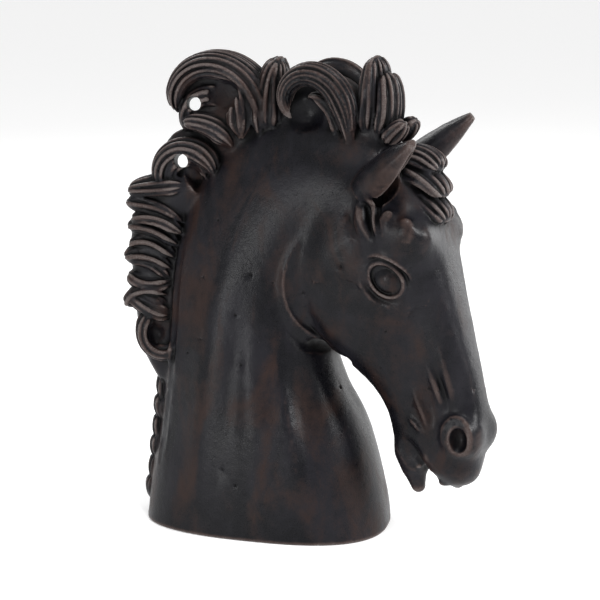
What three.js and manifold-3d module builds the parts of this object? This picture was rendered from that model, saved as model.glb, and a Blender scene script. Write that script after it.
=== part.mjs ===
// A horse's head and neck, cast in one piece, that stands on the flat foot of its neck.
//
// Units are millimetres. +X is the way the neck faces, +Y is the horse's left and +Z is up. The
// origin is on the flat underside, on the neck's middle plane. The head is turned to the horse's
// right, and the neck twists with it. Each form is a loft of closed sections: the neck and the head
// through the few stations where their outline changes, each lock of the mane along a curve that
// winds up towards its tip. All of them are joined into one solid.

import * as THREE from "three";
import { LoftGeometry } from "three/addons/geometries/LoftGeometry.js";
import { mergeVertices } from "three/addons/utils/BufferGeometryUtils.js";
import Module from "manifold-3d";

const wasm = await Module();
wasm.setup();

// ---- Driving dimensions ----

const HEAD_TURN = 16; // degrees that the head is turned to the right
const TURN_AXIS_X = 20; // the upright line that it turns about
const FOOT_BELOW = 12; // how far the neck's loft runs below the foot before it is cut off flat

// The neck, from the foot to inside the skull: the section's centre, and half its depth and width.
const NECK = [
  { x: -1, z: -FOOT_BELOW, depth: 94, width: 60 },
  { x: -1, z: 14, depth: 93, width: 59 },
  { x: -4, z: 60, depth: 85, width: 56 },
  { x: -10, z: 100, depth: 73, width: 51 },
  { x: -13, z: 140, depth: 65, width: 46 },
  { x: -10, z: 178, depth: 65, width: 43 },
  { x: 0, z: 213, depth: 69, width: 41 },
  { x: 22, z: 250, depth: 64, width: 38 },
  { x: 52, z: 266, depth: 51, width: 34 },
  { x: 88, z: 258, depth: 40, width: 30 },
];
const NECK_EGG = 0.14; // how much wider the throat's side is than the crest's

// The head, from the poll to the lips: where each section meets the face and the jaw, in the head's
// own middle plane, and half its width at each.
const HEAD = [
  { face: [106, 290], jaw: [60, 278], faceWidth: 14, jawWidth: 20 },
  { face: [126, 270], jaw: [32, 249], faceWidth: 25, jawWidth: 34 },
  { face: [140, 243], jaw: [26, 214], faceWidth: 32, jawWidth: 41 },
  { face: [149, 213], jaw: [29, 182], faceWidth: 33, jawWidth: 41 },
  { face: [156, 186], jaw: [43, 155], faceWidth: 28, jawWidth: 35 },
  { face: [163, 160], jaw: [67, 134], faceWidth: 24, jawWidth: 26 },
  { face: [169, 138], jaw: [88, 116], faceWidth: 20, jawWidth: 20 },
  { face: [174, 118], jaw: [100, 98], faceWidth: 18, jawWidth: 17 },
  { face: [178, 99], jaw: [105, 80], faceWidth: 20, jawWidth: 16 },
  { face: [178, 82], jaw: [110, 66], faceWidth: 19, jawWidth: 15 },
  { face: [170, 65], jaw: [114, 58], faceWidth: 15, jawWidth: 12 },
];
const HEAD_SQUARENESS = 0.72; // under 1, the head's sections are boxier than an ellipse

// Each lock of the mane is a curl in an upright plane. It leaves its root, x and z, at a heading in
// degrees, where 0 is straight ahead and 90 is up. It runs its length, and by its tip it has turned
// that many degrees further, anticlockwise as the horse's right side is seen. Over 1, tighten keeps
// the turning for the tip. half is half its depth at the root, the middle and the tip, width is half
// its width, and out is how far its root and its tip stand to the right of the middle plane.
// The crest's locks stand on the middle of the neck and are shared by both sides.
const CREST_LOCKS = [
  {
    root: [-4, 290], heading: 84, length: 132, turn: 205, tighten: 1.5,
    half: [12, 9, 9], width: 16, out: [6, 3],
  },
  {
    root: [5, 296], heading: 93, length: 60, turn: -30, tighten: 3,
    half: [9, 11, 8], width: 15, out: [6, 2],
  },
  {
    root: [-38, 263], heading: 98, length: 82, turn: 225, tighten: 1.2,
    half: [8, 7, 6], width: 14, out: [6, 3],
  },
  {
    root: [-24, 288], heading: 118, length: 42, turn: 75,
    half: [5, 6, 5], width: 11, out: [10, 8],
  },
  {
    root: [-57, 258], heading: 180, length: 51, turn: 12,
    half: [9, 9, 7], width: 15, out: [4, 2],
  },
  {
    root: [-79, 170], heading: 215, length: 80, turn: 270, tighten: 1.5,
    half: [6, 7, 4], width: 13, out: [8, 12],
  },
  {
    root: [84, 297], heading: 87, length: 62, turn: 0,
    half: [8, 10, 7], width: 14, out: [5, 2],
  },
  {
    root: [91, 298], heading: 62, length: 51, turn: 46,
    half: [6, 7, 6], width: 13, out: [5, 2],
  },
];

// Below them the mane blows back in a row of like locks, each a step lower, shorter and more curled.
const FLAMES = { count: 4, root: [-66, 217], stepX: -2, stepZ: -13, heading: 130, length: 49, turn: 62 };
const FLAME_STEP = { heading: -4, length: -2, turn: 10 };
const FLAME_SHAPE = { tighten: 0.9, half: [5, 7, 7], width: 17, out: [6, 3] };

// The side locks lie against the crest, and each has a twin on the other side.
const SIDE_LOCKS = [
  {
    root: [74, 296], heading: 93, length: 118, turn: 270, tighten: 1.9,
    half: [9, 7, 4], width: 9, out: [18, 20],
  },
  {
    root: [63, 296], heading: 88, length: 48, turn: 110, tighten: 1.5,
    half: [5, 5, 4], width: 8, out: [14, 12],
  },
  {
    root: [-17, 296], heading: 94, length: 42, turn: 4,
    half: [7, 7, 5], width: 7, out: [15, 12],
  },
  {
    root: [-3, 300], heading: 95, length: 44, turn: 5,
    half: [6, 6, 5], width: 7, out: [15, 10],
  },
  {
    root: [99, 298], heading: 45, length: 22, turn: 0,
    half: [6, 7, 5], width: 9, out: [10, 8],
  },
];

// The forelock falls between the ears, in the head's own plane.
const FORELOCKS = [
  {
    root: [109, 285], heading: 8, length: 31, turn: -42, tighten: 1.2,
    half: [8, 9, 5], width: 15, out: [0, -2],
  },
  {
    root: [106, 272], heading: -25, length: 47, turn: -22,
    half: [7, 13, 7], width: 16, out: [2, 0],
  },
];
const CURL_STEPS = 40; // how finely a curl's middle line is worked out

// The mass of hair that the locks of the lower mane rise from: its centre, half its depth and width.
const MANE_BED = [
  { x: -80, z: 110, depth: 7, width: 10 },
  { x: -83, z: 126, depth: 13, width: 13 },
  { x: -85, z: 143, depth: 17, width: 14 },
  { x: -85, z: 168, depth: 19, width: 15 },
  { x: -86, z: 191, depth: 20, width: 15 },
  { x: -86, z: 215, depth: 21, width: 15 },
  { x: -82, z: 238, depth: 18, width: 14 },
  { x: -56, z: 258, depth: 14, width: 13 },
];

// The smooth hollows inside the curls: flat discs that close each curl across the middle plane. A
// hole runs right through the two that have one.
const HOLLOWS = [
  { x: -43, z: 322, radius: 25, thick: 7, hole: { x: -56, z: 319, radius: 4.8 } },
  { x: -60, z: 281, radius: 20, thick: 7, hole: { x: -66, z: 276, radius: 5 } },
  { x: -24, z: 300, radius: 24, thick: 13 },
  { x: 20, z: 314, radius: 28, thick: 14 },
  { x: 52, z: 318, radius: 26, thick: 14 },
  { x: 84, z: 304, radius: 22, thick: 14 },
];

// The plaited end of the mane runs down the back of the neck in short overlapping tufts.
const TUFT = { count: 7, topX: -81, topZ: 118, bottomX: -92, bottomZ: 20, length: 22, depth: 7, width: 9 };

// The ears point forwards and out. The opening is the way that the hollow of each one faces.
const EAR = { width: 16, thick: 15 };
const EAR_HOLLOW = { scale: 0.6, shift: 10, steps: 5, sides: 8 };
const RIGHT_EAR = {
  base: new THREE.Vector3(87, -25, 257),
  tip: new THREE.Vector3(138, -48, 304),
  opening: new THREE.Vector3(1, -0.9, -0.5),
};
const LEFT_EAR = {
  base: new THREE.Vector3(89, 25, 263),
  tip: new THREE.Vector3(142, 48, 314),
  opening: new THREE.Vector3(1, 0.9, -0.5),
};
const EYE = { x: 111, z: 203, lids: new THREE.Vector3(17, 8, 12), lidsY: 32, ball: 9, ballY: 33 };
const BROW = { x: 119, y: 29, z: 233, long: 24, across: 13, high: 17 };
const NOSTRIL = { x: 164, y: 15, z: 89, long: 15, across: 10, high: 15, hole: 7, holeHigh: 9, holeDepth: 10 };
const LIP = { x: 155, z: 62, long: 18, halfWidth: 16, high: 15 };
const CHIN = { x: 121, z: 54, long: 11, halfWidth: 12, high: 16 };

// ---- Making solids ----

const degrees = THREE.MathUtils.degToRad;

function solidOf(geometry) {
  const bare = new THREE.BufferGeometry();
  bare.setAttribute("position", geometry.getAttribute("position"));
  bare.setIndex(geometry.index);
  const merged = mergeVertices(bare, 1e-3);
  const mesh = new wasm.Mesh({
    numProp: 3,
    vertProperties: new Float32Array(merged.attributes.position.array),
    triVerts: new Uint32Array(merged.index.array),
  });
  return new wasm.Manifold(mesh);
}

function geometryOf(solid) {
  const mesh = solid.getMesh();
  const geometry = new THREE.BufferGeometry();
  geometry.setAttribute("position", new THREE.BufferAttribute(mesh.vertProperties, 3));
  geometry.setIndex(new THREE.BufferAttribute(mesh.triVerts, 1));
  geometry.computeVertexNormals();
  return geometry;
}

const joined = (solids) => solids.reduce((all, next) => all.add(next));

// A scaled sphere, with its middle at a point.
function ellipsoid(centre, radii, sides = 12) {
  const geometry = new THREE.SphereGeometry(1, sides, Math.round(sides * 0.6));
  geometry.scale(radii.x, radii.y, radii.z).translate(centre.x, centre.y, centre.z);
  return solidOf(geometry);
}

// A smooth curve through one named value of several stations.
function through(rows, ...names) {
  const points = rows.map((row) => new THREE.Vector3(...[0, 1, 2].map((i) => row[names[i]] ?? 0)));
  return new THREE.CatmullRomCurve3(points, false, "catmullrom", 0.5);
}

// A closed ring in the plane of two directions. squareness under 1 makes it boxier than an ellipse,
// and egg widens it towards the first direction.
function ring({ centre, along, across, depth, width, sides, squareness = 1, egg = 0 }) {
  const powered = (value) => Math.sign(value) * Math.abs(value) ** squareness;
  return Array.from({ length: sides }, (_, i) => {
    const angle = (i / sides) * 2 * Math.PI;
    const forward = powered(Math.cos(angle));
    const sideways = powered(Math.sin(angle)) * (1 + egg * forward);
    return centre
      .clone()
      .addScaledVector(along, depth * forward)
      .addScaledVector(across, width * sideways);
  });
}

const loft = (rings) => solidOf(new LoftGeometry(rings, { capStart: true, capEnd: true }));

// Turns a point of the neck's plane about the upright axis, by degrees to the horse's right.
function turned(point, angle) {
  return point
    .sub(new THREE.Vector3(TURN_AXIS_X, 0, 0))
    .applyAxisAngle(new THREE.Vector3(0, 0, 1), -degrees(angle))
    .add(new THREE.Vector3(TURN_AXIS_X, 0, 0));
}

// How far the neck has turned at a place along the crest.
const turnAt = (x) => HEAD_TURN * THREE.MathUtils.smoothstep(x, -40, 90);

// ---- The neck and the head ----

// A loft along a curve in the neck's plane, whose sections face along it.
function neckForm(rows, { steps, sides, egg = 0, squareness = () => 1, turn = turnAt }) {
  const centres = through(rows, "x", "z");
  const sizes = through(rows, "depth", "width");
  const rings = Array.from({ length: steps + 1 }, (_, i) => {
    const t = i / steps;
    const { x, y: z } = centres.getPoint(t);
    const tangent = centres.getTangent(t);
    const { x: depth, y: width } = sizes.getPoint(t);
    const along = new THREE.Vector3(tangent.y, 0, -tangent.x);
    const across = new THREE.Vector3(0, 1, 0);
    const angle = turn(x, z);
    return ring({
      centre: new THREE.Vector3(x, 0, z),
      along,
      across,
      depth,
      width,
      sides,
      egg,
      squareness: squareness(t),
    }).map((point) => turned(point, angle));
  });
  return loft(rings);
}

function neck() {
  return neckForm(NECK, {
    steps: 18,
    sides: 22,
    egg: NECK_EGG,
    squareness: (t) => 0.78 + 0.22 * THREE.MathUtils.smoothstep(t, 0, 0.4),
    turn: (x, z) => (z > 190 ? turnAt(x) : 0),
  });
}

function skull() {
  const face = through(HEAD.map(({ face: [x, z] }) => ({ x, z })), "x", "z");
  const jaw = through(HEAD.map(({ jaw: [x, z] }) => ({ x, z })), "x", "z");
  const widths = through(HEAD, "faceWidth", "jawWidth");
  const steps = 18;
  const rings = Array.from({ length: steps + 1 }, (_, i) => {
    const t = i / steps;
    const front = face.getPoint(t);
    const back = jaw.getPoint(t);
    const { x: faceWidth, y: jawWidth } = widths.getPoint(t);
    const width = (faceWidth + jawWidth) / 2;
    const span = new THREE.Vector3(front.x - back.x, 0, front.y - back.y);
    return ring({
      centre: new THREE.Vector3((front.x + back.x) / 2, 0, (front.y + back.y) / 2),
      along: span.clone().normalize(),
      across: new THREE.Vector3(0, -1, 0),
      depth: span.length() / 2,
      width,
      sides: 18,
      egg: (faceWidth - jawWidth) / (2 * width),
      squareness: HEAD_SQUARENESS,
    });
  });
  return loft(rings);
}

// A form of the right side of the head, and its mirror image.
const bothSides = (solid) => solid.add(solid.mirror([0, 1, 0]));

function ear({ base, tip, opening: facing }, { scale = 1, shift = 0, steps = 7, sides = 11 } = {}) {
  const along = tip.clone().sub(base);
  const length = along.length();
  along.normalize();
  const opening = facing.clone();
  opening.addScaledVector(along, -opening.dot(along)).normalize();
  const across = new THREE.Vector3().crossVectors(along, opening);
  const rings = Array.from({ length: steps + 1 }, (_, i) => {
    const t = i / steps;
    const leaf = Math.sin(Math.PI * (0.3 + 0.68 * t)) ** 0.8;
    return ring({
      centre: base
        .clone()
        .addScaledVector(along, length * t)
        .addScaledVector(opening, shift * (1 - 0.6 * t)),
      along: opening,
      across,
      depth: EAR.thick * scale * leaf * (1 - 0.35 * t),
      width: EAR.width * scale * leaf,
      sides,
    });
  });
  return loft(rings);
}

function head() {
  const blob = ({ x, y = 0, z, long, across, high, halfWidth = across }) =>
    ellipsoid(new THREE.Vector3(x, -y, z), new THREE.Vector3(long, halfWidth, high));
  const pairs = joined([
    blob(BROW),
    blob(NOSTRIL),
    ellipsoid(new THREE.Vector3(EYE.x, -EYE.lidsY, EYE.z), EYE.lids),
    ellipsoid(new THREE.Vector3(EYE.x, -EYE.ballY, EYE.z), new THREE.Vector3().setScalar(EYE.ball)),
  ]);
  const nostrilHole = ellipsoid(
    new THREE.Vector3(NOSTRIL.x + 2, -NOSTRIL.y - NOSTRIL.across, NOSTRIL.z),
    new THREE.Vector3(NOSTRIL.hole, NOSTRIL.holeDepth, NOSTRIL.holeHigh),
    12,
  );
  const ears = [RIGHT_EAR, LEFT_EAR].map((side) =>
    ear(side).subtract(ear(side, EAR_HOLLOW)),
  );
  return joined([skull(), blob(LIP), blob(CHIN), bothSides(pairs)])
    .subtract(bothSides(nostrilHole))
    .add(joined(ears));
}

// ---- The mane ----

// The middle line of a curl: points that each lie one small step further along the heading there.
function curl({ root: [x, z], heading, length, turn, tighten = 1 }) {
  const step = length / CURL_STEPS;
  const points = [new THREE.Vector3(x, z, 0)];
  for (let i = 0; i < CURL_STEPS; i++) {
    const angle = degrees(heading + turn * ((i + 0.5) / CURL_STEPS) ** tighten);
    points.push(points[i].clone().add(new THREE.Vector3(step * Math.cos(angle), step * Math.sin(angle), 0)));
  }
  return new THREE.CatmullRomCurve3(points);
}

// One lock: a loft along its curl, with a rounded tip.
function lock(shape, angle, sides = 7) {
  const { turn, half, width, out } = shape;
  const middle = curl(shape);
  const steps = 4 + Math.round(Math.abs(turn) / 38);
  const rings = Array.from({ length: steps + 1 }, (_, i) => {
    const t = i / steps;
    const { x, y: z } = middle.getPoint(t);
    const tangent = middle.getTangent(t);
    const girth = Math.sqrt(1 - 0.92 * t ** 6);
    const depth = half[0] * (1 - t) * (1 - 2 * t) + 4 * half[1] * t * (1 - t) + half[2] * t * (2 * t - 1);
    return ring({
      centre: new THREE.Vector3(x, -THREE.MathUtils.lerp(out[0], out[1], t), z),
      along: new THREE.Vector3(-tangent.y, 0, tangent.x),
      across: new THREE.Vector3(0, -1, 0),
      depth: depth * girth,
      width: width * girth,
      sides,
    }).map((point) => turned(point, angle));
  });
  return loft(rings);
}

const flames = () =>
  Array.from({ length: FLAMES.count }, (_, i) => ({
    ...FLAME_SHAPE,
    root: [FLAMES.root[0] + i * FLAMES.stepX, FLAMES.root[1] + i * FLAMES.stepZ],
    heading: FLAMES.heading + i * FLAME_STEP.heading,
    length: FLAMES.length + i * FLAME_STEP.length,
    turn: FLAMES.turn + i * FLAME_STEP.turn,
  }));

// The same lock on the horse's left side.
const twin = (shape) => ({ ...shape, out: shape.out.map((side) => -side) });

// A flat disc across the middle plane, and the hole through it.
function hollow({ x, z, radius, thick }) {
  const disc = ellipsoid(new THREE.Vector3(0, 0, 0), new THREE.Vector3(radius, thick, radius));
  const place = turned(new THREE.Vector3(x, 0, z), turnAt(x));
  return disc.rotate([0, 0, -turnAt(x)]).translate(place.toArray());
}

const holes = () =>
  HOLLOWS.filter(({ hole }) => hole).map(({ hole: { x, z, radius } }) =>
    solidOf(new THREE.CylinderGeometry(radius, radius, 120, 14).translate(x, 0, z)),
  );

function plait() {
  return Array.from({ length: TUFT.count }, (_, i) => {
    const t = i / (TUFT.count - 1);
    const side = i % 2 ? -1 : 1;
    const x = THREE.MathUtils.lerp(TUFT.topX, TUFT.bottomX, t);
    const z = THREE.MathUtils.lerp(TUFT.topZ, TUFT.bottomZ, t);
    const shape = {
      root: [x + TUFT.depth * 0.6, z + TUFT.length / 2],
      heading: 250,
      length: TUFT.length,
      turn: 40,
      half: [TUFT.depth * 0.7, TUFT.depth, TUFT.depth * 0.6],
      width: TUFT.width,
      out: [3 * side, -2 * side],
    };
    return lock(shape, 0);
  });
}

function mane() {
  return joined([
    neckForm(MANE_BED, { steps: 9, sides: 10 }),
    ...HOLLOWS.map(hollow),
    ...[...CREST_LOCKS, ...flames()].map((shape) => lock(shape, turnAt(shape.root[0]))),
    ...SIDE_LOCKS.map((shape) => lock(shape, turnAt(shape.root[0]))),
    ...SIDE_LOCKS.map((shape) => lock(twin(shape), turnAt(shape.root[0]))),
    ...FORELOCKS.map((shape) => lock(shape, HEAD_TURN)),
    ...plait(),
  ]).subtract(joined(holes()));
}

// ---- The sculpture ----

function sculpture() {
  const below = new THREE.BoxGeometry(400, 400, 100).translate(0, 0, -50);
  const turnedHead = head()
    .translate([-TURN_AXIS_X, 0, 0])
    .rotate([0, 0, -HEAD_TURN])
    .translate([TURN_AXIS_X, 0, 0]);
  return joined([neck(), turnedHead, mane()]).subtract(solidOf(below));
}

const horseHead = new THREE.Mesh(
  geometryOf(sculpture()),
  new THREE.MeshStandardMaterial({ color: 0x2a2424, roughness: 0.42, metalness: 0.1 }),
);
horseHead.name = "horse_head";

const bust = new THREE.Group();
bust.add(horseHead);

export default bust;
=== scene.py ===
import math
import bmesh
import bpy
import numpy as np
import openvdb
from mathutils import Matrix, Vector


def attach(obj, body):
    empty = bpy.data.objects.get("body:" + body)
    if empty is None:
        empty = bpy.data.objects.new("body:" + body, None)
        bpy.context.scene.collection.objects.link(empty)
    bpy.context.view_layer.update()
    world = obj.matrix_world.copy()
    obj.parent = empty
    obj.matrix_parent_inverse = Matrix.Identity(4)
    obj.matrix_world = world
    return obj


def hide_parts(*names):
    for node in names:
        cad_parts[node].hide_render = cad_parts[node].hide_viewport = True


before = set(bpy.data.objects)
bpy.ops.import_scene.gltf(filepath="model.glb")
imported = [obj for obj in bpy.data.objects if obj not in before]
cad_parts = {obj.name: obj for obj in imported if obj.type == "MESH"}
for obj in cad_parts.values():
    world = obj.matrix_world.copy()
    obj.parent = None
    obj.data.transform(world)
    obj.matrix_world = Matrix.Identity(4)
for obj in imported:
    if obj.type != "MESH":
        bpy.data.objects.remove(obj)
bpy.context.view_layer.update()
print("frame loaded")

# The head is worked like clay: a block of cells that each hold the distance to the surface, in
# millimetres, minus inside. Forms are melted together or scraped away, and the skin is taken last.

clayBlock = {
    "low": (-122, -96, -8),
    "high": (188, 78, 374),
    "cell": 0.8,
    "far": 24,          # the distance given to cells well clear of everything
    "triangles": 190000,
}


def melt(a, b, blend):  # both forms, with a fillet of about that size where they meet
    if blend <= 0:
        return np.minimum(a, b)
    near = np.maximum(blend - np.abs(a - b), 0)
    return np.minimum(a, b) - near * near / (4 * blend)


def scrape(a, b, blend):  # a with b cut out of it
    return -melt(-a, b, blend)


class Clay:
    def __init__(self, low, high, cell, far):
        self.low = np.array(low, float)
        self.cell = cell
        self.far = far
        self.size = np.ceil((np.array(high, float) - self.low) / cell).astype(int) + 1
        self.d = np.full(self.size, far, np.float32)

    def window(self, low, high):  # the cells of a box, and where their middles are
        start = np.clip(np.floor((np.asarray(low) - self.low) / self.cell).astype(int), 0, self.size)
        stop = np.clip(np.ceil((np.asarray(high) - self.low) / self.cell).astype(int) + 1, 0, self.size)
        cut = tuple(slice(a, b) for a, b in zip(start, stop))
        x, y, z = (
            (self.low[i] + np.arange(start[i], stop[i]) * self.cell).astype(np.float32)
            for i in range(3)
        )
        return cut, (x[:, None, None], y[None, :, None], z[None, None, :])

    def add(self, form, blend=0):
        cut, d = form
        self.d[cut] = melt(self.d[cut], d, blend)

    def cut(self, form, blend=0):
        cut, d = form
        self.d[cut] = scrape(self.d[cut], d, blend)

    def skin(self, points, faces, reach):  # a closed skin, as distances from it
        low = points.min(0) - reach - self.cell
        high = points.max(0) + reach + self.cell
        cut, _ = self.window(low, high)
        start = np.array([s.start for s in cut])
        shape = [s.stop - s.start for s in cut]
        grid = openvdb.FloatGrid.createLevelSetFromPolygons(
            (points - self.low - start * self.cell).astype(np.float32),
            **{"quads" if faces.shape[1] == 4 else "triangles": faces.astype(np.uint32)},
            transform=openvdb.createLinearTransform(voxelSize=self.cell),
            halfWidth=reach / self.cell,
        )
        d = np.empty(shape, np.float32)
        grid.copyToArray(d)
        return cut, d

    def ball(self, centre, radii, turn=0, reach=10):  # an ellipsoid, turned about the upright axis
        radii = np.array(radii, float)
        size = radii.max() + reach
        cut, (x, y, z) = self.window(np.array(centre) - size, np.array(centre) + size)
        c, s = math.cos(math.radians(turn)), math.sin(math.radians(turn))
        dx, dy, dz = x - centre[0], y - centre[1], z - centre[2]
        u, v, w = (dx * c + dy * s) / radii[0], (dy * c - dx * s) / radii[1], dz / radii[2]
        inner = np.sqrt(u * u + v * v + w * w) + 1e-6
        outer = np.sqrt((u / radii[0]) ** 2 + (v / radii[1]) ** 2 + (w / radii[2]) ** 2) + 1e-6
        return cut, (inner * (inner - 1) / outer).astype(np.float32)

    def rope(self, points, radii, reach=6):  # a round strand along a line of points
        points = np.asarray(points, float)
        radii = np.broadcast_to(np.asarray(radii, float), len(points))
        edge = radii.max() + reach
        cut, _ = self.window(points.min(0) - edge, points.max(0) + edge)
        start = np.array([s.start for s in cut])
        d = np.full([s.stop - s.start for s in cut], self.far, np.float32)
        for a, b, ra, rb in zip(points[:-1], points[1:], radii[:-1], radii[1:]):
            pad = max(ra, rb) + reach
            small, (x, y, z) = self.window(np.minimum(a, b) - pad, np.maximum(a, b) + pad)
            along = b - a
            t = ((x - a[0]) * along[0] + (y - a[1]) * along[1] + (z - a[2]) * along[2])
            t = np.clip(t / max(along @ along, 1e-9), 0, 1)
            gap = np.sqrt(
                (x - a[0] - t * along[0]) ** 2
                + (y - a[1] - t * along[1]) ** 2
                + (z - a[2] - t * along[2]) ** 2
            ) - (ra + (rb - ra) * t)
            part = tuple(slice(s.start - o, s.stop - o) for s, o in zip(small, start))
            np.minimum(d[part], gap, out=d[part])
        return cut, d

    def sample(self, points):  # the distance at any points
        f = (np.asarray(points) - self.low) / self.cell
        f = np.clip(f, 0, self.size - 1.001)
        i = f.astype(int)
        f = f - i
        value = 0
        for corner in range(8):
            k = np.array([corner & 1, corner >> 1 & 1, corner >> 2])
            weight = np.prod(np.where(k, f, 1 - f), axis=1)
            value = value + weight * self.d[tuple((i + k).T)]
        return value

    def drop(self, points, direction, start=30):  # slides points along a direction to the surface
        direction = np.asarray(direction, float)
        direction = direction / np.linalg.norm(direction)
        p = np.asarray(points, float) - direction * start
        for _ in range(60):
            step = self.sample(p)
            p = p + direction * np.maximum(step, -1)[:, None] * 0.8
        return p


clay = Clay(clayBlock["low"], clayBlock["high"], clayBlock["cell"], clayBlock["far"])


# Curves and lofts

def along(rows, count):  # a smooth curve through rows of numbers
    rows = np.array(rows, float)
    t = np.linspace(0, len(rows) - 1, count)
    i = np.minimum(t.astype(int), len(rows) - 2)
    f = (t - i)[:, None]
    ends = np.vstack([2 * rows[0] - rows[1], rows, 2 * rows[-1] - rows[-2]])
    a, b, c, d = (ends[i + k] for k in range(4))
    return 0.5 * (
        2 * b + (c - a) * f + (2 * a - 5 * b + 4 * c - d) * f**2 + (3 * b - a - 3 * c + d) * f**3
    )


def unit(vectors):
    return vectors / np.maximum(np.linalg.norm(vectors, axis=-1, keepdims=True), 1e-9)


def rings(centres, forward, sideways, depth, width, sides=64, front=1, back=1, egg=0):
    # front and back under 1 make that half of the section boxier than an ellipse
    angle = np.linspace(0, 2 * math.pi, sides, endpoint=False)
    c, s = np.cos(angle), np.sin(angle)
    power = np.where(c > 0, np.reshape(front, (-1, 1)), np.reshape(back, (-1, 1)))
    u = np.sign(c) * np.abs(c) ** power
    v = np.sign(s) * np.abs(s) ** power * (1 + np.reshape(egg, (-1, 1)) * u)
    u = u * np.reshape(depth, (-1, 1))
    v = v * np.reshape(width, (-1, 1))
    return centres[:, None] + u[..., None] * forward[:, None] + v[..., None] * sideways[:, None]


def loft(sections):  # the closed skin over a row of rings
    count, sides = sections.shape[:2]
    i, j = np.meshgrid(np.arange(count - 1), np.arange(sides), indexing="ij")
    k = (j + 1) % sides
    quads = np.stack([i * sides + j, i * sides + k, (i + 1) * sides + k, (i + 1) * sides + j], -1)
    points = np.vstack([sections.reshape(-1, 3), sections[0].mean(0), sections[-1].mean(0)])
    j = np.arange(0, sides, 2)
    first = count * sides
    start = np.stack([np.full_like(j, first), (j + 2) % sides, (j + 1) % sides, j], -1)
    end = start + (count - 1) * sides
    end[:, 0] = first + 1
    return points, np.vstack([quads.reshape(-1, 4), start, end])


headTurn = 16           # degrees that the head is turned to its right
turnAxis = 20


def turned(points, angle):  # turns points to the right about the upright line, by degrees
    angle = np.radians(angle)
    x, y, z = points[..., 0] - turnAxis, points[..., 1], points[..., 2]
    c, s = np.cos(angle), np.sin(angle)
    return np.stack([x * c + y * s + turnAxis, y * c - x * s, z], -1)


def easeIn(x, low, high):
    t = np.clip((x - low) / (high - low), 0, 1)
    return t * t * (3 - 2 * t)


def turnAt(x):  # how far the neck has turned at a place along the crest
    return headTurn * easeIn(x, -40, 90)


# The neck

neck = {
    "stations": [      # x, z, half depth, half width
        (-1, -12, 94, 60), (-1, 14, 93, 59), (-4, 60, 85, 56), (-10, 100, 73, 51),
        (-13, 140, 65, 46), (-10, 178, 65, 43), (0, 213, 69, 41), (22, 250, 64, 38),
        (52, 266, 51, 34), (88, 258, 40, 30),
    ],
    "egg": 0.14,
    "boxy": (0.78, 1.0),
    "turnAbove": 190,      # the height where the neck starts to turn with the head
}


def sweepInPlane(stations, count, sides=72, egg=0, boxy=(1, 1), turnAbove=None):
    rows = along(stations, count)
    x, z, depth, width = rows.T
    centres = np.stack([x, 0 * x, z], -1)
    tangent = unit(np.gradient(centres, axis=0))
    forward = np.stack([tangent[:, 2], 0 * x, -tangent[:, 0]], -1)
    sideways = np.broadcast_to([0, 1.0, 0], centres.shape)
    square = boxy[0] + (boxy[1] - boxy[0]) * easeIn(np.linspace(0, 1, count), 0, 0.4)
    angle = turnAt(x)
    if turnAbove is not None:
        angle = angle * easeIn(z, turnAbove - 25, turnAbove + 25)
    sections = rings(centres, forward, sideways, depth, width, sides, square, square, egg)
    return loft(turned(sections, angle[:, None]))


points, faces = sweepInPlane(
    neck["stations"], 90, 96, neck["egg"], neck["boxy"], neck["turnAbove"]
)
clay.add(clay.skin(points, faces, 14))
print("neck")


# The head, in its own upright plane before it is turned

head = {
    "stations": [      # face x and z, jaw x and z, half width at the face and at the jaw
        (106, 290, 60, 278, 14, 20), (126, 270, 32, 249, 25, 34), (140, 243, 26, 214, 32, 41),
        (149, 213, 29, 182, 33, 41), (156, 186, 43, 155, 28, 35), (163, 160, 67, 134, 24, 26),
        (169, 138, 88, 116, 20, 20), (174, 118, 100, 98, 18, 17), (178, 99, 105, 80, 20, 16),
        (178, 82, 110, 66, 19, 15), (170, 65, 114, 58, 15, 12),
    ],
    "boxyFace": 0.5,
    "boxyJaw": 0.8,
    "forms": [         # place, radii and fillet of the brow, the swelling of the nostril and the lip
        ((119, 29, 233), (24, 13, 17), 14), ((164, 15, 89), (15, 10, 15), 8),
        ((155, 0, 62), (18, 16, 15), 10),
    ],
    "chin": [((117, 0, 68), 11), ((121, 0, 56), 9.5), ((124, 0, 43), 5.5)],     # places and radii
}


def inHead(points):
    return turned(np.asarray(points, float), headTurn)


rows = along(head["stations"], 90)
face = np.stack([rows[:, 0], 0 * rows[:, 0], rows[:, 1]], -1)
jaw = np.stack([rows[:, 2], 0 * rows[:, 0], rows[:, 3]], -1)
middle = (rows[:, 4] + rows[:, 5]) / 2
sections = rings(
    (face + jaw) / 2,
    unit(face - jaw),
    np.broadcast_to([0, -1.0, 0], face.shape),
    np.linalg.norm(face - jaw, axis=1) / 2,
    middle,
    72,
    head["boxyFace"],
    head["boxyJaw"],
    (rows[:, 4] - rows[:, 5]) / (2 * middle),
)
points, faces = loft(inHead(sections))
clay.add(clay.skin(points, faces, 12), 4)


def pair(centre, radii):  # the same form on the right and the left of the head
    x, y, z = centre
    for side in (-1, 1) if y else (0,):
        yield clay.ball(inHead((x, y * side, z)), radii, -headTurn)


for place, radii, blend in head["forms"]:
    for form in pair(place, radii):
        clay.add(form, blend)
chinPlaces, chinRadii = zip(*head["chin"])
clay.add(clay.rope(inHead(chinPlaces), chinRadii, 10), 8)
print("head")


# The ears

ears = [
    {"base": (91, -26, 264), "tip": (138, -48, 304), "opening": (1, 0.3, -0.7)},
    {"base": (89, 25, 263), "tip": (142, 48, 314), "opening": (1, 0.7, -0.6)},
]
earShape = {
    "width": 16,
    "thick": 15,
    "fillet": 8,
    "hollow": 0.66,        # size of the hollow beside that of the ear
    "shift": 9,            # how far forward of the ear the hollow lies
    "hollowReach": 0.93,   # how much of the ear's length it runs
}


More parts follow.
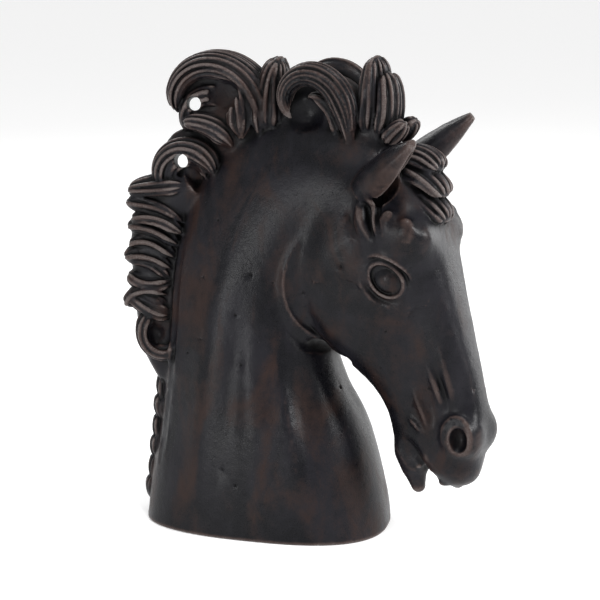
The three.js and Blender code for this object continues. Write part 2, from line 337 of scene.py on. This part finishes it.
def leaf(ear, scale=1, shift=0, reach=1, count=40):
    base, tip = np.array(ear["base"], float), np.array(ear["tip"], float)
    way = unit(tip - base)
    opening = np.array(ear["opening"], float)
    opening = unit(opening - (opening @ way) * way)
    across = np.cross(way, opening)
    t = np.linspace(0, 1, count)
    swell = np.sin(math.pi * (0.2 + 0.75 * t)) ** 0.68
    centres = base + t[:, None] * (tip - base) * reach + (shift * (1 - 0.6 * t))[:, None] * opening
    same = np.ones((count, 1))
    return loft(inHead(rings(
        centres,
        same * opening,
        same * across,
        earShape["thick"] * scale * swell * (1 - 0.35 * t),
        earShape["width"] * scale * swell,
        40,
    )))


for ear in ears:
    clay.add(clay.skin(*leaf(ear), 12), earShape["fillet"])
for ear in ears:
    hollow = leaf(ear, earShape["hollow"], earShape["shift"], earShape["hollowReach"])
    clay.cut(clay.skin(*hollow, 8), 2)
print("ears")


# The mane

mane = {
    "bed": [           # x, z, half depth, half width
        (-80, 110, 7, 10), (-83, 126, 13, 13), (-85, 143, 17, 14), (-85, 168, 19, 15),
        (-86, 191, 20, 15), (-86, 215, 21, 15), (-82, 238, 18, 14), (-56, 258, 14, 13),
    ],
    "hollows": [       # x, z, radius and half thickness of the smooth floor inside each curl
        (-43, 322, 25, 7), (-60, 281, 20, 7), (-24, 300, 24, 13), (20, 314, 28, 14),
        (52, 318, 26, 14), (84, 304, 22, 14),
    ],
    "holes": [(-56, 319, 5.2), (-66, 276, 5.2)],
    "holeReach": 60,
    "holeLean": (10, 9),   # how far a hole has moved, x and z, by that far out to the right
    "bowls": [         # x, z, y and radii of the dark hollows in the curls
        (-30, 327, 13, (13, 9, 12)), (36, 316, 18, (13, 9, 12)), (-84, 145, 17, (6, 7, 8)),
        (-56, 268, 14, (7, 6, 8)),
    ],
    "strand": 2.1,         # half the width of a strand
    "uneven": (0.85, 1.15),
    "sway": 0.13,
    "fan": 1.06,           # how far round the side of a lock its strands reach, 1 for half way round
    "groove": 0.7,         # how far neighbouring strands melt together
    "inset": 1.4,          # how far the body of a lock stays under its strands
}

# Each lock is a curl in an upright plane. It leaves its root, x and z, at a heading where 0 is
# straight ahead and 90 is up, runs its length, and has turned that much further by its tip. half is
# half its depth at the root, the middle and the tip, width is half its width, and out is how far the
# root and the tip stand to the right of the middle plane.
crestLocks = {
    "wave": {"root": (-3, 288), "heading": 84, "length": 134, "turn": 205, "tighten": 1.5,
             "half": (14, 11, 10), "width": 16, "out": (6, 3)},
    "waveIn": {"root": (-14, 290), "heading": 92, "length": 92, "turn": 215, "tighten": 1.5,
               "half": (8, 8, 6), "width": 9, "out": (6, 4)},
    "knot": {"root": (5, 296), "heading": 93, "length": 60, "turn": -30, "tighten": 3,
             "half": (11, 12, 8), "width": 15, "out": (6, 2)},
    "hook": {"root": (-38, 263), "heading": 98, "length": 82, "turn": 225, "tighten": 1.2,
             "half": (10, 9, 7), "width": 14, "out": (6, 3)},
    "hookIn": {"root": (-46, 264), "heading": 102, "length": 50, "turn": 215, "tighten": 1.2,
               "half": (6, 6, 5), "width": 9, "out": (6, 4)},
    "web": {"root": (-24, 288), "heading": 118, "length": 46, "turn": 75,
            "half": (9, 8, 6), "width": 11, "out": (10, 8)},
    "shelf": {"root": (-57, 258), "heading": 180, "length": 51, "turn": 12,
              "half": (9, 9, 7), "width": 15, "out": (4, 2)},
    "lowCurl": {"root": (-79, 170), "heading": 215, "length": 80, "turn": 270, "tighten": 1.5,
                "half": (6, 7, 4), "width": 13, "out": (8, 12)},
    "lowFill": {"root": (-68, 160), "heading": 172, "length": 44, "turn": -38, "tighten": 1.3,
                "half": (8, 9, 7), "width": 16, "out": (6, 4)},
    "lowBack": {"root": (-70, 186), "heading": 196, "length": 40, "turn": -60, "tighten": 1.6,
                "half": (8, 8, 6), "width": 15, "out": (6, 4)},
    "spike": {"root": (84, 297), "heading": 87, "length": 62, "turn": 0,
              "half": (8, 10, 7), "width": 14, "out": (5, 2)},
    "poll": {"root": (91, 298), "heading": 62, "length": 51, "turn": 46,
             "half": (6, 7, 6), "width": 13, "out": (5, 2)},
}
rng = np.random.default_rng(11)
flameCount = 9         # the row of flames that the lower mane blows back in, no two alike
for k in range(flameCount):
    crestLocks["flame%d" % k] = {
        "root": (-61 - 1.8 * k + rng.uniform(-2, 2), 230 - 9.4 * k),
        "heading": 142 - 3 * k + rng.uniform(-9, 8), "length": 50 - 1.1 * k + rng.uniform(-3, 2),
        "turn": 56 + 8 * k + rng.uniform(-18, 14), "tighten": rng.uniform(0.7, 1.7),
        "half": (5, rng.uniform(6, 9), rng.uniform(5, 7)),
        "width": rng.uniform(12, 19), "out": (6, 3),
    }
sideLocks = {
    "swirl": {"root": (74, 296), "heading": 93, "length": 118, "turn": 270, "tighten": 1.9,
              "half": (12, 9, 4), "width": 9, "out": (18, 20)},
    "swirlIn": {"root": (63, 296), "heading": 88, "length": 48, "turn": 110, "tighten": 1.5,
                "half": (5, 5, 4), "width": 8, "out": (14, 12)},
    "waveRib": {"root": (-17, 296), "heading": 94, "length": 42, "turn": 4,
                "half": (9, 9, 7), "width": 8, "out": (15, 12)},
    "knotRib": {"root": (-3, 300), "heading": 95, "length": 44, "turn": 5,
                "half": (6, 6, 5), "width": 7, "out": (15, 10)},
    "pollTuft": {"root": (99, 298), "heading": 45, "length": 22, "turn": 0,
                 "half": (6, 7, 5), "width": 9, "out": (10, 8)},
}
forelocks = {
    "foreTop": {"root": (108, 286), "heading": 10, "length": 32, "turn": -50, "tighten": 1.2,
                "half": (9, 10, 7), "width": 16, "out": (0, -2)},
    "foreMiddle": {"root": (106, 279), "heading": -6, "length": 43, "turn": -48, "tighten": 1.4,
                   "half": (8, 8, 6), "width": 18, "out": (2, 1)},
    "foreSweep": {"root": (104, 271), "heading": -27, "length": 50, "turn": -14,
                  "half": (8, 10, 9), "width": 17, "out": (3, 1)},
}
tufts = {"count": 7, "top": (-81, 118), "bottom": (-92, 20), "length": 24, "depth": 9, "width": 10}


def curl(lock, count=48):  # the middle line of a lock, its two directions and its half sizes
    t = np.linspace(0, 1, count)
    angle = np.radians(lock["heading"] + lock["turn"] * t ** lock.get("tighten", 1))
    between = (angle[1:] + angle[:-1]) / 2
    step = lock["length"] / (count - 1)
    x = lock["root"][0] + step * np.append(0, np.cumsum(np.cos(between)))
    z = lock["root"][1] + step * np.append(0, np.cumsum(np.sin(between)))
    y = -(lock["out"][0] + (lock["out"][1] - lock["out"][0]) * t)
    root, belly, tip = lock["half"]
    depth = root * (1 - t) * (1 - 2 * t) + 4 * belly * t * (1 - t) + tip * t * (2 * t - 1)
    outward = np.stack([-np.sin(angle), 0 * t, np.cos(angle)], -1)
    return t, np.stack([x, y, z], -1), outward, depth


def rootTaper(t):  # a lock rises narrow and low out of the neck
    return 0.3 + 0.7 * easeIn(t, -0.08, 0.3)


def combed(lock, angle, side):  # strands laid side by side over one face of a lock
    t, centres, outward, depth = curl(lock)
    across = np.array([0, -1.0, 0]) * side
    size = mane["strand"]
    count = max(int(round(2.5 * max(lock["half"]) / (1.8 * size))), 3)
    for k in range(count + 1):
        spread = math.pi * (k / count - 0.5) * mane["fan"]
        sway = spread + mane["sway"] * np.sin(4 * t + rng.uniform(0, 6)) * (1 - abs(2 * k / count - 1))
        girth = np.sqrt(1 - 0.9 * t**8) * rootTaper(t)
        fits = np.clip(depth * 2.5 / count / (1.8 * size), 0.55, 1.3)
        wide = size * rng.uniform(*mane["uneven"]) * fits
        line = (
            centres
            + ((depth * girth - 0.55 * wide) * np.sin(sway))[:, None] * outward
            + ((lock["width"] * girth - 0.55 * wide) * np.cos(sway))[:, None] * across
        )
        first, last = rng.uniform(-0.02, 0.12), rng.uniform(0.95, 1)
        taper = np.clip((t - first) / 0.22, 0, 1) ** 0.7 * np.clip((last - t) / 0.08, 0, 1) ** 0.5
        keep = (t >= first) & (t <= last)
        strands.append((turned(line[keep], angle), np.maximum(wide * taper, 0.3)[keep]))


def buildLock(lock, angle, faces=(1, -1)):
    t, centres, outward, depth = curl(lock)
    girth = np.sqrt(1 - 0.92 * t**6) * rootTaper(t)
    sideways = np.broadcast_to([0, -1.0, 0], centres.shape)
    inset = mane["inset"]
    core = rings(centres, outward, sideways, np.maximum(depth * girth - inset, 1),
                 np.maximum(lock["width"] * girth - inset, 1), 28)
    clay.add(clay.skin(*loft(turned(core, angle)), 5), 2)
    for side in faces:
        combed(lock, angle, side)


def mirrored(lock):
    return {**lock, "out": [-y for y in lock["out"]]}


strands = []
points, faces = sweepInPlane(mane["bed"], 40, 40)
clay.add(clay.skin(points, faces, 6), 6)
for x, z, radius, thick in mane["hollows"]:
    place = turned(np.array([x, 0.0, z]), turnAt(x))
    clay.add(clay.ball(place, (radius, thick, radius), -turnAt(x)), 5)
for lock in (*crestLocks.values(), *sideLocks.values()):     # on the right, with a twin on the left
    angle = turnAt(lock["root"][0])
    buildLock(lock, angle, (1,))
    buildLock(mirrored(lock), angle, (-1,))
for lock in forelocks.values():
    buildLock(lock, headTurn)

# the plaited end of the mane: short overlapping tufts down the back of the neck
for k in range(tufts["count"]):
    f = k / (tufts["count"] - 1)
    side = -1 if k % 2 else 1
    x, z = (a + (b - a) * f for a, b in zip(tufts["top"], tufts["bottom"]))
    buildLock({
        "root": (x + tufts["depth"] * 0.6, z + tufts["length"] / 2), "heading": 250, "turn": 40,
        "length": tufts["length"], "half": [tufts["depth"] * part for part in (0.7, 1, 0.6)],
        "width": tufts["width"], "out": (3 * side, -2 * side),
    }, 0)

for line, radii in strands:
    clay.add(clay.rope(line, radii, 3), mane["groove"])
for x, z, y, radii in mane["bowls"]:
    for side in (-1, 1):
        place = turned(np.array([x, float(y * side), z]), turnAt(x))
        clay.cut(clay.ball(place, radii, -turnAt(x)), 3)
for x, z, radius in mane["holes"]:
    far = mane["holeReach"]
    dx, dz = mane["holeLean"]
    clay.cut(clay.rope([(x + dx, -far, z + dz), (x - dx, far, z - dz)], radius), 1.5)
print("mane,", len(strands), "strands")


# Folds, lids and veins: lines drawn on the surface, raised or pressed in

relief = {
    "jawArc": {"centre": (86, 192), "radii": (55, 55), "angles": (118, 268), "wide": 4, "high": 1.5},
    "jawGroove": {"centre": (86, 192), "radii": (60, 60), "angles": (118, 262), "wide": 9, "high": -1.3},
    "jawInner": {"centre": (86, 192), "radii": (48, 49), "angles": (196, 240), "wide": 4, "high": 0.7},
    "eye": (112, 203),
    "socket": {"radii": (13, 4, 12), "inward": -2, "blend": 4},
    "eyeball": {"radii": (13, 13, 12.5), "inward": 8.8, "blend": 0.6},
    "eyeTilt": -38,
    "eyeRings": [      # radii, from and to angle, width, height
        ((21, 17.5), (25, 180), 4.5, 2.0), ((17.5, 14.6), (10, 195), 3, -2.0),
        ((14.3, 11.6), (-30, 210), 3.2, 2.3), ((14.3, 11.2), (150, 390), 2.8, 1.9),
        ((18, 15.5), (200, 360), 3.6, -1.6), ((22, 19), (210, 340), 4.5, 1.3),
        ((11.4, 9.2), (150, 395), 1.8, -1.2),
    ],
    "headLines": [     # points x and z, width, height
        ([(95, 258), (100, 245), (107, 229)], 4, -3.0),
        ([(81, 256), (85, 240), (94, 225)], 5, -2.4),
        ([(90, 257), (94, 244), (102, 229)], 6, 3.4),
        ([(99, 263), (102, 250), (108, 236)], 3, 1.8),
        ([(103, 263), (106, 250), (111, 236)], 3.5, -2.2),
        ([(137, 146), (146, 124), (151, 106)], 6.5, 3.0),
        ([(148, 156), (156, 130), (161, 108)], 8, 3.4),
        ([(125, 126), (134, 106), (142, 88)], 6, 2.9),
        ([(121, 101), (129, 94), (138, 86)], 4.5, 2.0),
        ([(143, 146), (151, 124), (156, 104)], 4, -0.9),
        ([(133, 130), (141, 112), (147, 96)], 4, -0.9),
        ([(146, 86), (140, 76), (138, 66)], 6, 1.2),
        ([(149, 34), (139, 52), (131, 66), (119, 80)], 5, -3.8),
        ([(150, 62), (141, 68), (134, 78)], 6, 1.4),
        ([(112, 74), (118, 64), (126, 57)], 6, 1.2),
        ([(100, 190), (108, 184), (118, 184)], 3.5, -0.8),
        ([(62, 176), (80, 160), (100, 146)], 18, -1.2),
        ([(96, 232), (78, 214), (66, 196)], 16, -1.2),
    ],
    "headDents": [     # x, z, radii
        (122, 68, (9, 4, 12)), (133, 54, (5, 6, 7)), (76, 178, (24, 2, 22)), (136, 160, (12, 2, 24)),
    ],
    "headMounds": [    # x, z, radii, blend
        (91, 243, (5, 5, 12), 4), (115, 243, (6, 5, 11), 5), (129, 240, (6, 4, 9), 6),
        (147, 50, (4, 5, 3), 3), (153, 47, (4, 5, 3), 3),
    ],
    "nostrilRing": {"centre": (163, 90), "radii": (10.5, 14), "wide": 5, "high": 1.8},
    "nostrilRingAngles": (-60, 235),
    "nostrilHole": {"place": (165, 88), "radii": (7, 11, 10), "inward": -1, "blend": 2.5},
    "neckLines": [
        ([(-58, 240), (-66, 200), (-70, 150), (-75, 95), (-84, 25)], 4, 1.1),
        ([(-52, 238), (-60, 200), (-64, 150), (-69, 95), (-78, 25)], 3, 0.7),
        ([(-6, 226), (-22, 180), (-31, 125), (-36, 70), (-36, 8)], 34, 1.0),
        ([(2, 172), (-3, 125), (2, 80), (2, 20)], 26, 0.7),
        ([(14, 142), (24, 96), (33, 50), (38, 12)], 26, 1.2),
        ([(33, 132), (42, 96), (50, 50)], 24, -2.2),
        ([(-14, 168), (-17, 115), (-19, 50)], 18, -1.0),
    ],
    "pinholes": {          # how many, where over the head and the neck in x and z, and their radii
        "count": 46, "head": ((60, 150), (110, 240)), "neck": ((-60, 60), (15, 250)),
        "radii": (0.7, 1.4),
    },
}


def onSkin(line, side, turn, count=36):  # a line of x and z, brought in from the side to the surface
    x, z = along(line, count).T
    way = turned(np.array([turnAxis, -side, 0.0]), turn) - [turnAxis, 0, 0]
    start = turned(np.stack([x, 0 * x + side * 70, z], -1), turn)
    return clay.drop(start, way, 0), way


def drawn(line, wide, high, turn, sides=(-1, 1)):
    for side in sides:
        path, way = onSkin(line, side, turn)
        t = np.linspace(0, 1, len(path))
        fade = np.sin(np.pi * t) ** 0.6      # the line sinks away at both ends
        radius = wide / 2
        blend = 0.5 * abs(high) + 0.2 * wide
        sunk = (radius - abs(high) * fade + blend * (1 - fade))[:, None]
        if high > 0:
            clay.add(clay.rope(path + way * sunk, radius, 4 + blend), blend)
        else:
            clay.cut(clay.rope(path - way * sunk, radius, 4 + blend), blend)


def arc(centre, radii, angles, tilt=0, count=16):
    a = np.radians(np.linspace(angles[0], angles[1], count))
    u, w = radii[0] * np.cos(a), radii[1] * np.sin(a)
    c, s = math.cos(math.radians(tilt)), math.sin(math.radians(tilt))
    return np.stack([centre[0] + u * c - w * s, centre[1] + u * s + w * c], -1)


def sunkBall(place, radii, turn, inward, blend, hollow=False):  # a mound or a dent on both sides
    for side in (-1, 1):
        path, way = onSkin([place, (place[0] + 0.1, place[1])], side, turn, 2)
        form = clay.ball(path[0] + way * inward, radii, -turn)
        (clay.cut if hollow else clay.add)(form, blend)


for line, wide, high in relief["neckLines"]:
    drawn(line, wide, high, 0)
for x, z, radii, blend in relief["headMounds"]:
    sunkBall((x, z), radii, headTurn, radii[1] * 0.45, blend)
for x, z, radii in relief["headDents"]:
    sunkBall((x, z), radii, headTurn, -radii[1] * 0.45, 5, True)
for name in ("jawGroove", "jawArc", "jawInner"):
    shape = relief[name]
    drawn(arc(shape["centre"], shape["radii"], shape["angles"]), shape["wide"], shape["high"], headTurn)
for line, wide, high in relief["headLines"]:
    drawn(line, wide, high, headTurn)
print("folds")

# the eyes: a shallow socket, the ball, then the lids and creases round it
shape = relief["socket"]
sunkBall(relief["eye"], shape["radii"], headTurn, shape["inward"], shape["blend"], True)
shape = relief["eyeball"]
sunkBall(relief["eye"], shape["radii"], headTurn, shape["inward"], shape["blend"])
for radii, angles, wide, high in relief["eyeRings"]:
    drawn(arc(relief["eye"], radii, angles, relief["eyeTilt"]), wide, high, headTurn)

shape = relief["nostrilRing"]
ring = arc(shape["centre"], shape["radii"], relief["nostrilRingAngles"])
drawn(ring, shape["wide"], shape["high"], headTurn)
shape = relief["nostrilHole"]
sunkBall(shape["place"], shape["radii"], headTurn, shape["inward"], shape["blend"], True)

shape = relief["pinholes"]
for k in range(shape["count"]):
    onHead = k % 2
    xRange, zRange = shape["head"] if onHead else shape["neck"]
    place = (rng.uniform(*xRange), rng.uniform(*zRange))
    side = -1 if k % 4 < 2 else 1
    path, way = onSkin([place, (place[0] + 0.1, place[1])], side, headTurn * onHead, 2)
    size = rng.uniform(*shape["radii"])
    clay.cut(clay.ball(path[0], (size, size, size), 0, 3), 0.4)
print("eyes, nostrils and pinholes")


# The flat foot, and the skin over the clay

cut, (x, y, z) = clay.window(clay.low, clay.low + clay.size * clay.cell)
clay.d[cut] = scrape(clay.d[cut], np.broadcast_to(z, clay.d.shape), 2)


def skinOf(clay):
    grid = openvdb.FloatGrid(clay.far)
    grid.copyFromArray(clay.d)
    points, triangles, quads = grid.convertToPolygons(isovalue=0, adaptivity=0.15)
    points = points * clay.cell + clay.low
    mesh = bpy.data.meshes.new("horseHead")
    faces = [*map(tuple, quads.tolist()), *map(tuple, triangles.tolist())]
    mesh.from_pydata(points * 0.001, [], faces)
    mesh.update()
    return mesh


mesh = skinOf(clay)
casting = bpy.data.objects.new("horseHeadCasting", mesh)
bpy.context.scene.collection.objects.link(casting)
mesh.calc_loop_triangles()
print("skin,", len(mesh.loop_triangles), "triangles")

fewer = casting.modifiers.new("fewer", "DECIMATE")
fewer.ratio = min(1, clayBlock["triangles"] / len(mesh.loop_triangles))
graph = bpy.context.evaluated_depsgraph_get()
final = bpy.data.meshes.new_from_object(casting.evaluated_get(graph))
casting.modifiers.clear()
casting.data = final
final.shade_smooth()


def tidySkin(mesh):       # keeps the casting's one skin, with every face turned outwards
    work = bmesh.new()
    work.from_mesh(mesh)
    left = set(work.verts)
    body = []
    pieces = 0
    while left:
        group = [left.pop()]
        for vertex in group:
            for edge in vertex.link_edges:
                other = edge.other_vert(vertex)
                if other in left:
                    left.discard(other)
                    group.append(other)
        pieces += 1
        if len(group) > len(body):
            body = group
    body = set(body)
    bmesh.ops.delete(work, geom=[v for v in work.verts if v not in body], context="VERTS")
    bmesh.ops.recalc_face_normals(work, faces=work.faces)
    looseEdges = sum(len(edge.link_faces) != 2 for edge in work.edges)
    work.to_mesh(mesh)
    work.free()
    print("stray skins taken away:", pieces - 1, "open edges:", looseEdges)


tidySkin(final)
print("casting,", len(final.polygons), "faces")

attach(casting, "root")
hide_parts("horse_head")


# How far each point of the skin is raised, pressed in or shut away, for the patina, the painted
# highlight on ridges and the painted shade in hollows to follow

wearAndShadeReach = {"fine": 1.8, "broad": 5.0, "near": 3, "deep": 8}     # how far from the skin each looks


def measureSkin(mesh):
    mesh.calc_loop_triangles()
    count = len(mesh.vertices)
    points = np.empty(count * 3, np.float32)
    normals = np.empty(count * 3, np.float32)
    mesh.vertices.foreach_get("co", points)
    mesh.vertices.foreach_get("normal", normals)
    points, normals = points.reshape(-1, 3) * 1000.0, normals.reshape(-1, 3)
    corners = np.empty(len(mesh.loop_triangles) * 3, np.int32)
    mesh.loop_triangles.foreach_get("vertices", corners)
    cut, d = clay.skin(points, corners.reshape(-1, 3), 10)
    clay.d[:] = clay.far
    clay.d[cut] = d
    around = np.array([(x, y, z) for x in (-1, 0, 1) for y in (-1, 0, 1) for z in (-1, 0, 1)], float)
    around = unit(around[np.linalg.norm(around, axis=1) > 0])

    def bend(reach):
        return sum(clay.sample(points + way * reach) for way in around) / len(around) / reach

    def closed(reach):
        return np.clip(1 - clay.sample(points + normals * reach) / reach, 0, 1)

    fine, broad = bend(wearAndShadeReach["fine"]), bend(wearAndShadeReach["broad"])
    shut, deep = closed(wearAndShadeReach["near"]), closed(wearAndShadeReach["deep"])
    for name, values in (
        ("raised", np.clip(fine * 3.5, 0, 1) * 0.6 + np.clip(broad * 4, 0, 1) * 0.45),
        ("pressed", np.clip(-fine * 3.5, 0, 1)),
        ("shut", np.clip(0.5 * shut + 0.7 * deep, 0, 1)),
    ):
        layer = mesh.attributes.new(name, "FLOAT", "POINT")
        layer.data.foreach_set("value", values.astype(np.float32))


measureSkin(final)
print("skin measured")


# The finish

class Wired:  # a socket whose sums and products add Math nodes
    def __init__(self, finish, socket):
        self.finish = finish
        self.socket = socket

    def math(self, kind, a, b):
        return self.finish.node("ShaderNodeMath", {"operation": kind}, {0: a, 1: b})

    def __add__(self, other):
        return self.math("ADD", self, other)

    def __sub__(self, other):
        return self.math("SUBTRACT", self, other)

    def __rsub__(self, other):
        return self.math("SUBTRACT", other, self)

    def __mul__(self, other):
        return self.math("MULTIPLY", self, other)

    __radd__ = __add__
    __rmul__ = __mul__


class Finish:
    def __init__(self, name):
        self.material = bpy.data.materials.new(name)
        self.material.use_nodes = True
        self.tree = self.material.node_tree
        self.shader = self.tree.nodes["Principled BSDF"]

    def node(self, kind, settings, sockets, output=0):
        made = self.tree.nodes.new(kind)
        for name, value in settings.items():
            setattr(made, name, value)
        for name, value in sockets.items():
            self.give(made.inputs[name], value)
        return Wired(self, made.outputs[output])

    def give(self, socket, value):
        if isinstance(value, Wired):
            self.tree.links.new(value.socket, socket)
        else:
            socket.default_value = value

    def set(self, **sockets):
        for name, value in sockets.items():
            self.give(self.shader.inputs[name.replace("_", " ")], value)

    def attribute(self, name):
        return self.node("ShaderNodeAttribute", {"attribute_name": name}, {}, "Fac")

    def between(self, value, low, high):  # 0 below low, 1 above high, smooth between
        return self.node("ShaderNodeMapRange", {"interpolation_type": "SMOOTHSTEP"},
                         {"Value": value, "From Min": low, "From Max": high})

    def mix(self, amount, first, second):  # colours
        return self.node("ShaderNodeMix", {"data_type": "RGBA"}, {0: amount, 6: first, 7: second}, 2)

    def stretched(self, scale):  # places in millimetres, stretched by a scale on each axis
        places = self.node("ShaderNodeTexCoord", {}, {}, "Object")
        return self.node("ShaderNodeVectorMath", {"operation": "MULTIPLY"},
                         {0: places, 1: [1000.0 * k for k in scale]})

    def noise(self, size, detail=3, rough=0.55, scale=(1, 1, 1), warp=0):
        return self.node("ShaderNodeTexNoise", {}, {
            "Vector": self.stretched(scale), "Scale": 1 / size, "Detail": detail,
            "Roughness": rough, "Distortion": warp,
        }, "Fac")

    def specks(self, size):
        return self.node("ShaderNodeTexVoronoi", {}, {
            "Vector": self.stretched((1, 1, 1)), "Scale": 1 / size, "Randomness": 1.0,
        }, "Distance")


patina = {
    "charcoal": (0.0035, 0.0035, 0.0048, 1),
    "slate": (0.0092, 0.0088, 0.0115, 1),
    "rust": (0.0215, 0.0112, 0.0088, 1),
    "rubbed": (0.058, 0.038, 0.033, 1),
    # near-black painted shade, laid in hollows and creases and in the pinhole specks
    "paintedShade": (0.0012, 0.0011, 0.0014, 1),
    # pale dust and painted highlight, laid on the most raised ridges
    "dustAndHighlight": (0.15, 0.135, 0.13, 1),
    "specular": 0.13,
    "bump": 0.55,
    "bumpHeight": 0.0006,
}


def patinaFinish():
    finish = Finish("patinatedCasting")
    raised, pressed, shut = (finish.attribute(name) for name in ("raised", "pressed", "shut"))
    cloud = finish.noise(38, 3, 0.55, (1, 1, 0.5), 0.8)     # broad clouds, drawn out down the neck
    streak = finish.noise(30, 3, 0.5, (1, 1, 0.42), 1.2)     # runs
    mottle = finish.noise(6, 3, 0.6)
    grain = finish.noise(0.9, 3, 0.6)
    pits = finish.specks(2.6)

    shade = finish.between(cloud + 0.25 * (mottle - 0.5) + 0.3 * (grain - 0.5), 0.36, 0.68)
    colour = finish.mix(shade, patina["charcoal"], patina["slate"])
    rusty = finish.between(streak + 0.22 * (mottle - 0.5) + 0.25 * (grain - 0.5), 0.46, 0.76)
    colour = finish.mix(rusty * 0.85, colour, patina["rust"])
    rubbed = finish.between(raised + 0.45 * (mottle - 0.5), 0.3, 0.9)
    colour = finish.mix(rubbed * 0.75, colour, patina["rubbed"])
    # pale dust and painted highlight: lighter on the most raised ridges and strand tops
    dustAndHighlightMask = finish.between(raised + 0.9 * (grain - 0.5) + 0.6 * (cloud - 0.5), 0.66, 1.1)
    colour = finish.mix(dustAndHighlightMask * 0.45, colour, patina["dustAndHighlight"])
    # painted shade: darker where the skin is shut in by nearby surfaces or pressed into a crease,
    # standing in for the shade that falls there
    paintedShadeMask = finish.between(shut + 0.6 * pressed, 0.25, 0.95)
    colour = finish.mix(paintedShadeMask * 0.94, colour, patina["paintedShade"])
    # dark pinhole specks: painted shade standing in for tiny pits, with a matching dent in the bump
    picked = finish.between(finish.noise(9, 2, 0.5), 0.5, 0.58)
    speck = (1 - finish.between(pits, 0.05, 0.15)) * picked
    colour = finish.mix(speck * 0.85, colour, patina["paintedShade"])

    rough = 0.31 + 0.2 * (cloud - 0.5) + 0.3 * (grain - 0.5) + 0.3 * shut + 0.12 * rusty
    height = 0.7 * mottle + 0.4 * grain - 1.3 * speck
    bump = finish.node("ShaderNodeBump", {}, {
        "Strength": patina["bump"], "Distance": patina["bumpHeight"], "Height": height,
    })
    finish.set(Base_Color=colour, Roughness=rough, Normal=bump)
    finish.shader.inputs["Specular IOR Level"].default_value = patina["specular"]
    return finish.material


casting.data.materials.clear()
casting.data.materials.append(patinaFinish())
print("patina")


# The floor, the lights and the camera

studio = {
    "floor": 30,            # half the side of the floor, in metres
    "pale": (0.93, 0.93, 0.93, 1),
    "glow": 0.2,            # keeps the floor pale a long way off
    "surround": 0.75,
    "aim": (0.03, 0, 0.18),
    "lights": [             # name, place, size, power
        ("keyLight", (0.4, -0.4, 1.75), 0.35, 11),
        ("faceLight", (1.6, -0.35, 0.85), 0.35, 24),
        ("rimLight", (1.3, 1.35, 0.5), 0.9, 10),
        ("highLight", (-0.35, -1.1, 1.35), 0.16, 1.6),
        ("backLight", (-0.9, 1.2, 1.3), 0.6, 8),
        ("sideLight", (-0.85, -1.45, 0.22), 0.25, 8),
    ],
}
half = studio["floor"]
floorMesh = bpy.data.meshes.new("floor")
corners = [(-half, -half, 0), (half, -half, 0), (half, half, 0), (-half, half, 0)]
floorMesh.from_pydata(corners, [], [(0, 1, 2, 3)])
floor = bpy.data.objects.new("floor", floorMesh)
bpy.context.scene.collection.objects.link(floor)
paleFloor = Finish("paleFloor")
paleFloor.set(Base_Color=studio["pale"], Roughness=0.8)
paleFloor.set(Emission_Color=studio["pale"], Emission_Strength=studio["glow"])
floorMesh.materials.append(paleFloor.material)

world = bpy.data.worlds.new("studio")
bpy.context.scene.world = world
world.use_nodes = True
world.node_tree.nodes["Background"].inputs["Color"].default_value = (1, 1, 1, 1)
world.node_tree.nodes["Background"].inputs["Strength"].default_value = studio["surround"]


def softLight(name, place, aim, size, power):
    data = bpy.data.lights.new(name, "AREA")
    data.size = size
    data.energy = power
    lamp = bpy.data.objects.new(name, data)
    lamp.location = place
    lamp.rotation_euler = (Vector(aim) - Vector(place)).to_track_quat("-Z", "Y").to_euler()
    bpy.context.scene.collection.objects.link(lamp)


for name, place, size, power in studio["lights"]:
    softLight(name, place, studio["aim"], size, power)

view = {
    "azimuth": 12,
    "elevation": 12,
    "distance": 1.5,
    "target": (0.023, 0.005, 0.172),
    "lens": 119.2,
}
a, e = math.radians(view["azimuth"]), math.radians(view["elevation"])
back = Vector((math.sin(a) * math.cos(e), -math.cos(a) * math.cos(e), math.sin(e)))
camera = bpy.data.objects.new("camera", bpy.data.cameras.new("camera"))
bpy.context.scene.collection.objects.link(camera)
camera.data.sensor_width = 36
camera.data.lens = view["lens"]
camera.location = Vector(view["target"]) + back * view["distance"]
camera.rotation_euler = (-back).to_track_quat("-Z", "Y").to_euler()
bpy.context.scene.camera = camera
bpy.context.scene.view_settings.view_transform = "Standard"
